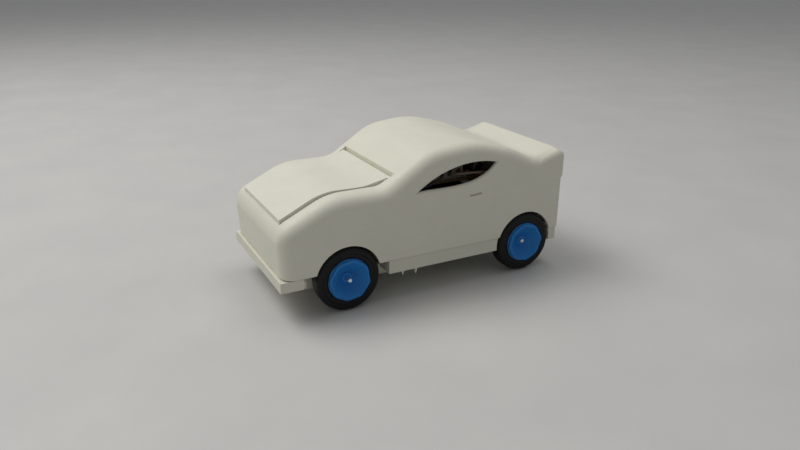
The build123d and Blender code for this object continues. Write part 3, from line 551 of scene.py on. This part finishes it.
def make_driver_parts():
    """The driver chip's leads, two rows of diodes, a regulator, small parts and the screw heads."""
    top = top_of("driver_board")
    chip_y = centre_of("driver_chip").y
    dark, pale, heads, bands = (bmesh.new() for _ in range(4))
    for k in range(11):
        for way in (-1, 1):
            x = (k - 5) * 1.6
            block(pale, (x, chip_y + way * 5.6, top + 0.12), (0.5, 1.3, 0.2), 0.04)
            block(pale, (x, chip_y + way * 5.12, top + 0.75), (0.5, 0.22, 1.3), 0.04)
    for way in (-1, 1):
        for k in range(4):
            x, y = way * 14.8, 5.2 + 3.6 * k
            block(dark, (x, y, top + 1.15), (4.2, 2.4, 2.1), 0.25)
            block(pale, (x, y, top + 0.2), (5.2, 1.4, 0.36), 0.05)
            block(bands, (x + 1.5, y, top + 2.21), (0.5, 2.0, 0.04), 0.0)
    block(dark, (0, 23.2, top + 1.2), (6.4, 4.4, 2.2), 0.25)
    block(pale, (0, 25.9, top + 0.4), (5.2, 1.0, 0.7), 0.08)
    keep_out = [(0, 13, 12, 9), (0, 24, 5, 5), (0, 29, 17, 3)]
    for way in (-1, 1):
        keep_out += [(way * 24, 12, 5, 14), (way * 14.8, 10, 3.5, 8), (way * 24, 30, 5, 5)]
    surface_parts(dark, pale, top, range(-20, 21, 4), (-4.0, -0.8, 2.4, 22.6, 25.4, 32.5), keep_out)
    for way in (-1, 1):
        for y in (-2.5, 25.0):
            slotted_head(heads, way * TERMINAL_X, y, top + 0.02, 1.8, 1.3, 0.4 * y)
        for k in range(4):
            slotted_head(heads, way * TERMINAL_X, terminal_y(k), top + 6.02, 1.35, 0.9, 0.7 * k + way)
    header_y, header_top = centre_of("driver_header").y, top_of("driver_header")
    for k in range(11):
        header_contacts(pale, PIN_PITCH * (k - 5), header_y, header_top)
    piece("driver_chips", "chassis", "chip_black", dark)
    piece("driver_leads", "chassis", "contact_steel", pale)
    piece("driver_screw_heads", "chassis", "screw_steel", heads)
    piece("diode_bands", "chassis", "spacer_white", bands)


def make_capacitor_tops():
    """Vented aluminium tops and the pale stripes that mark the negative side."""
    tops, stripes = bmesh.new(), bmesh.new()
    high = top_of("supply_capacitors")
    low = top_of("driver_board") + 0.6
    for way in (-1, 1):
        centre = (way * 24.2, 30.8)
        for quarter in range(4):
            start = math.pi / 2 * quarter
            middle = start + math.pi / 4
            heart = (centre[0] + 0.15 * math.cos(middle), centre[1] + 0.15 * math.sin(middle))
            wedge = [heart] + sector(centre, 2.55, start + 0.05, start + math.pi / 2 - 0.05)
            prism(tops, wedge, high - 0.1, high + 0.06)
        middle = math.pi / 2 + way * 0.9
        outer = sector(centre, 3.2, middle - 0.35, middle + 0.35)
        inner = sector(centre, 3.1, middle + 0.35, middle - 0.35)
        prism(stripes, outer + inner, low, high - 0.7)
    piece("capacitor_tops", "chassis", "contact_steel", tops)
    piece("capacitor_stripes", "chassis", "spacer_white", stripes)


def make_controller_parts():
    """The radio module's pads and zigzag aerial, a chip, a push button, small parts and contacts."""
    top = top_of("controller_board")
    dark, pale, gold = (bmesh.new() for _ in range(3))
    low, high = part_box("microcontroller_module")
    low, high = low / MM, high / MM
    for way in (-1, 1):
        for k in range(9):
            block(gold, (way * 8.3, low.y + 1.6 + 1.85 * k, top + 0.12), (0.9, 1.0, 0.2), 0.04)
    for k in range(7):
        odd = k % 2
        crossing = -5.0 + 2.0 * k if k < 6 else 6.0
        block(gold, (-6.0 + 2.0 * k, high.y + 1.6 + 0.7 * odd, top + 0.06), (0.35, 1.9, 0.1), 0.0)
        block(gold, (crossing, high.y + 1.0 + 1.8 * odd, top + 0.06), (2.0, 0.35, 0.1), 0.0)
    block(dark, (-10.5, -54.5, top + 0.8), (5.0, 6.2, 1.6), 0.15)
    block(pale, (10.0, -60.5, top + 0.8), (4.2, 4.2, 1.6), 0.2)
    disc(dark, (10.0, -60.5, top + 1.6), 1.1, 0.7)
    block(pale, (-9.5, -60.8, top + 0.6), (3.2, 1.6, 1.2), 0.3)
    keep_out = [(0, -40, 10.5, 13), (15.3, -44, 3.0, 14.5), (-15.3, -44, 3.0, 14.5)]
    keep_out += [(-10.5, -54.5, 4.0, 4.6), (10.0, -60.5, 3.6, 3.6), (-9.5, -60.8, 3.4, 2.4)]
    keep_out += [(0, -63, 5.5, 5), (0, -28, 10.5, 4.0)]
    keep_out += [(x, y, 3.6, 3.6) for x in (22, -22) for y in (-62, -28)]
    rows = (-57.5, -54.5, -51.5, -45.0, -40.0, -35.0)
    surface_parts(dark, pale, top, range(-21, 22, 3), rows, keep_out)
    header_top = top_of("controller_headers")
    for x in (-15.25, 15.25):
        for k in range(10):
            header_contacts(gold, x, -55.4 + PIN_PITCH * k, header_top, 90)
    piece("controller_chips", "chassis", "chip_black", dark)
    piece("controller_leads", "chassis", "contact_steel", pale)
    piece("controller_gold", "chassis", "pinion_brass", gold)


def make_cell_ends():
    """Bare steel ends of the wrapped cells, and contact plates with real coil springs."""
    ends, contacts = bmesh.new(), bmesh.new()
    plate_low, plate_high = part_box("battery_contacts")
    plate_low, plate_high = plate_low / MM, plate_high / MM
    middle_z = (plate_low.z + plate_high.z) / 2
    for label, way in SIDES:
        low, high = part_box(f"battery_cell_{label}")
        low, high = low / MM, high / MM
        heart = (low + high) / 2
        flat, facing = (low.y, -Y) if way > 0 else (high.y, Y)
        nub, behind = (high.y - 1.0, Y) if way > 0 else (low.y + 1.0, -Y)
        disc(ends, (heart.x, flat, heart.z), 5.9, 0.08, facing, 0.03)
        disc(ends, (heart.x, nub, heart.z), 3.6, 0.08, behind, 0.03)
        disc(ends, (heart.x, nub, heart.z), 2.66, 1.06, behind, 0.3)
        for y in (plate_low.y + 0.25, plate_high.y - 0.25):
            block(contacts, (way * 7.8, y, middle_z), (10.4, 0.5, 10.4), 0.12)
        disc(contacts, (heart.x, nub + 1.1 * behind.y, heart.z), 2.2, 1.06, behind, 0.2)
        plate = plate_low.y + 0.6 if way > 0 else plate_high.y - 0.6
        coil = []
        for i in range(COIL_STEPS + 1):
            share = i / COIL_STEPS
            turn = 2 * math.pi * COIL_TURNS * share
            radius = 3.3 - 1.2 * share
            y = plate + (flat - plate) * 0.9 * share
            coil.append((heart.x + radius * math.cos(turn), y, heart.z + radius * math.sin(turn)))
        tube(contacts, coil, 0.26, 8)
    piece("cell_ends", "chassis", "contact_steel", ends)
    piece("sprung_contacts", "chassis", "contact_steel", contacts, ["battery_contacts"])


def make_wires():
    """Wires from the motors, cells and switch to the driver board's terminals."""
    mouth_z = top_of("driver_board") + MOUTH_LIFT
    runs = {name: bmesh.new() for name in ("wire_brown", "wire_grey", "wire_red", "wire_black")}
    tabs = bmesh.new()
    motor_y = centre_of("motor_can_left").y
    motor_z = AXLE_Z

    def run(name, path):
        tube(runs[name], smooth_path(path), WIRE_RADIUS)

    for label, way in SIDES:
        for name, k, lift, out in (("wire_brown", 3, 1.6, 0.0), ("wire_grey", 2, -1.6, 1.25)):
            y = terminal_y(k)
            path = [(2.0, motor_y - 6.2, motor_z + lift), (4.5, 37.9, motor_z + lift)]
            path += [(12.0, 37.6 - out, 20), (18.5, 39.4, 27 + out), (24.0, 40.4, 38)]
            path += [(28.0, 40.8 - out, 47), (31.3, 38.2 - out, 52.3), (32.4, 32, 55.0 + out)]
            path += [(32.0, y + 3.6, mouth_z + 0.3), (30.0, y + 0.4, mouth_z)]
            path += [(MOUTH_X, y, mouth_z), (CLAMP_X, y, mouth_z)]
            run(name, [(way * px, py, pz) for px, py, pz in path])
            block(tabs, (way * 1.8, motor_y - 6.15, motor_z + lift), (0.9, 0.5, 1.5), 0.06)
    for name, side, k, drop in (("wire_red", 1, 0, 0.0), ("wire_black", -1, 1, 1.3)):
        y = terminal_y(k)
        path = [(side * 7.8, -21.3, 22.3), (side * 7.8, -21.5, 25.6)]
        path += [(10.0 + drop, -22.3 - drop / 3, 29.5 - drop), (21.0, -22.5, 36.5 - drop)]
        path += [(28.0, -22.1 - drop / 3, 43.8 - drop), (32.0, -18.6, 48.6 - drop)]
        path += [(33.0 - drop / 3, -9.5, 52.0 - drop / 2), (32.4, y - 5.2, 55.2)]
        path += [(30.2, y - 0.6, mouth_z), (MOUTH_X, y, mouth_z), (CLAMP_X, y, mouth_z)]
        run(name, path)
    for name, k, out in (("wire_red", 1, 0.0), ("wire_black", 0, 1.25)):
        y = terminal_y(k)
        path = [(-CLAMP_X, y, mouth_z), (-MOUTH_X, y, mouth_z), (-30.4, y + 0.8, mouth_z)]
        path += [(-32.3, y + 5, 56.4 - out), (-32.8, 22 - out, 55.3 - out), (-32.2, 35, 53.4 - out)]
        path += [(-29.0, 43.5 - out, 46.5), (-20, 52 + out, 38), (-10.0, 65.0 + out, 29)]
        path += [(-2.4 - 1.5 * out, 72.4, 23.6), (-1.2 - 1.5 * out, 73.3, 19.7)]
        run(name, path)
    for name, shape in runs.items():
        piece(name, "chassis", name, shape, smooth_angle=60)
    piece("motor_tabs", "chassis", "pinion_brass", tabs)


def make_stray_strands():
    """Thin curled strands beside the two spurs that the printer left under the left sill."""
    shape = bmesh.new()
    sill_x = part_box("chassis_tray")[1].x / MM - 1.1
    for k in range(7):
        y = -17.0 + 1.7 * k
        fall = 0.4 + 0.13 * (k % 3)
        path = []
        for i in range(5):
            drift, sway = (noise.noise(Vector((k * 2.3, i * 0.6, depth))) for depth in (0.4, 7.4))
            path.append((sill_x + 0.5 * drift, y + 1.1 * sway * i / 2, 14.0 - fall * i))
        tube(shape, smooth_path(path, 5), 0.11, 6, 0.35)
    piece("stray_strands", "chassis", "tray_print", shape, smooth_angle=80)


make_driver_parts()
make_capacitor_tops()
make_controller_parts()
make_cell_ends()
make_wires()
make_stray_strands()


# --- table, light and camera ----------------------------------------------------------------

TABLE_REACH = 8.0
ROOM_COLOUR = (0.97, 0.98, 1.0, 1.0)
ROOM_STRENGTH = 0.25
LIGHT_TARGET = (0, 0, 0.02)
CAMERA_PLACE = (0.3059, -0.1609, 0.1577)
CAMERA_FORWARD = (-0.8228, 0.4362, -0.3644)
CAMERA_ROLL = 0.31
CAMERA_LENS = 31.5


def make_table():
    """Pale laminate table top, with the faint orange peel of its lacquer."""
    f = Finish("table_top", IOR=1.45)
    cloud = f.noise(60.0, 3.0)
    f.colour(f.mix(f.fit(cloud, 0.3, 0.7, 0.0, 1.0), (0.60, 0.595, 0.585), (0.64, 0.635, 0.62)))
    f.rough(f.fit(f.noise(9.0, 3.0), 0.3, 0.7, 0.34, 0.42))
    f.bump(f.noise(1.3, 2.0), 0.02)
    mesh = bpy.data.meshes.new("table")
    corners = [(x * TABLE_REACH, y * TABLE_REACH, 0) for x, y in ((-1, -1), (1, -1), (1, 1), (-1, 1))]
    mesh.from_pydata(corners, [], [(0, 1, 2, 3)])
    mesh.materials.append(f.material)
    table = bpy.data.objects.new("table", mesh)
    scene.collection.objects.link(table)


def area_light(name, place, size, power, colour):
    data = bpy.data.lights.new(name, "AREA")
    data.shape = "RECTANGLE"
    data.size, data.size_y = size
    data.energy = power
    data.color = colour
    lamp = bpy.data.objects.new(name, data)
    lamp.location = place
    aim = Vector(LIGHT_TARGET) - Vector(place)
    lamp.rotation_euler = aim.to_track_quat("-Z", "Y").to_euler()
    scene.collection.objects.link(lamp)


def make_light():
    world = bpy.data.worlds.new("room")
    world.use_nodes = True
    background = world.node_tree.nodes["Background"]
    background.inputs["Color"].default_value = ROOM_COLOUR
    background.inputs["Strength"].default_value = ROOM_STRENGTH
    scene.world = world
    area_light("window_light", (-0.42, -0.48, 1.0), (0.8, 0.6), 7.8, (1.0, 0.985, 0.955))
    area_light("ceiling_light", (-0.1, 0.4, 1.2), (0.8, 0.5), 2.2, (1.0, 0.985, 0.96))


def make_camera():
    data = bpy.data.cameras.new("camera")
    data.sensor_width = 36.0
    data.lens = CAMERA_LENS
    data.clip_start = 0.01
    data.clip_end = 30.0
    camera = bpy.data.objects.new("camera", data)
    aim = Vector(CAMERA_FORWARD).normalized().to_track_quat("-Z", "Y").to_matrix().to_4x4()
    roll = Matrix.Rotation(math.radians(CAMERA_ROLL), 4, "Z")
    camera.matrix_world = Matrix.Translation(CAMERA_PLACE) @ aim @ roll
    scene.collection.objects.link(camera)
    scene.camera = camera


scene.view_settings.view_transform = "Standard"
make_table()
make_light()
make_camera()
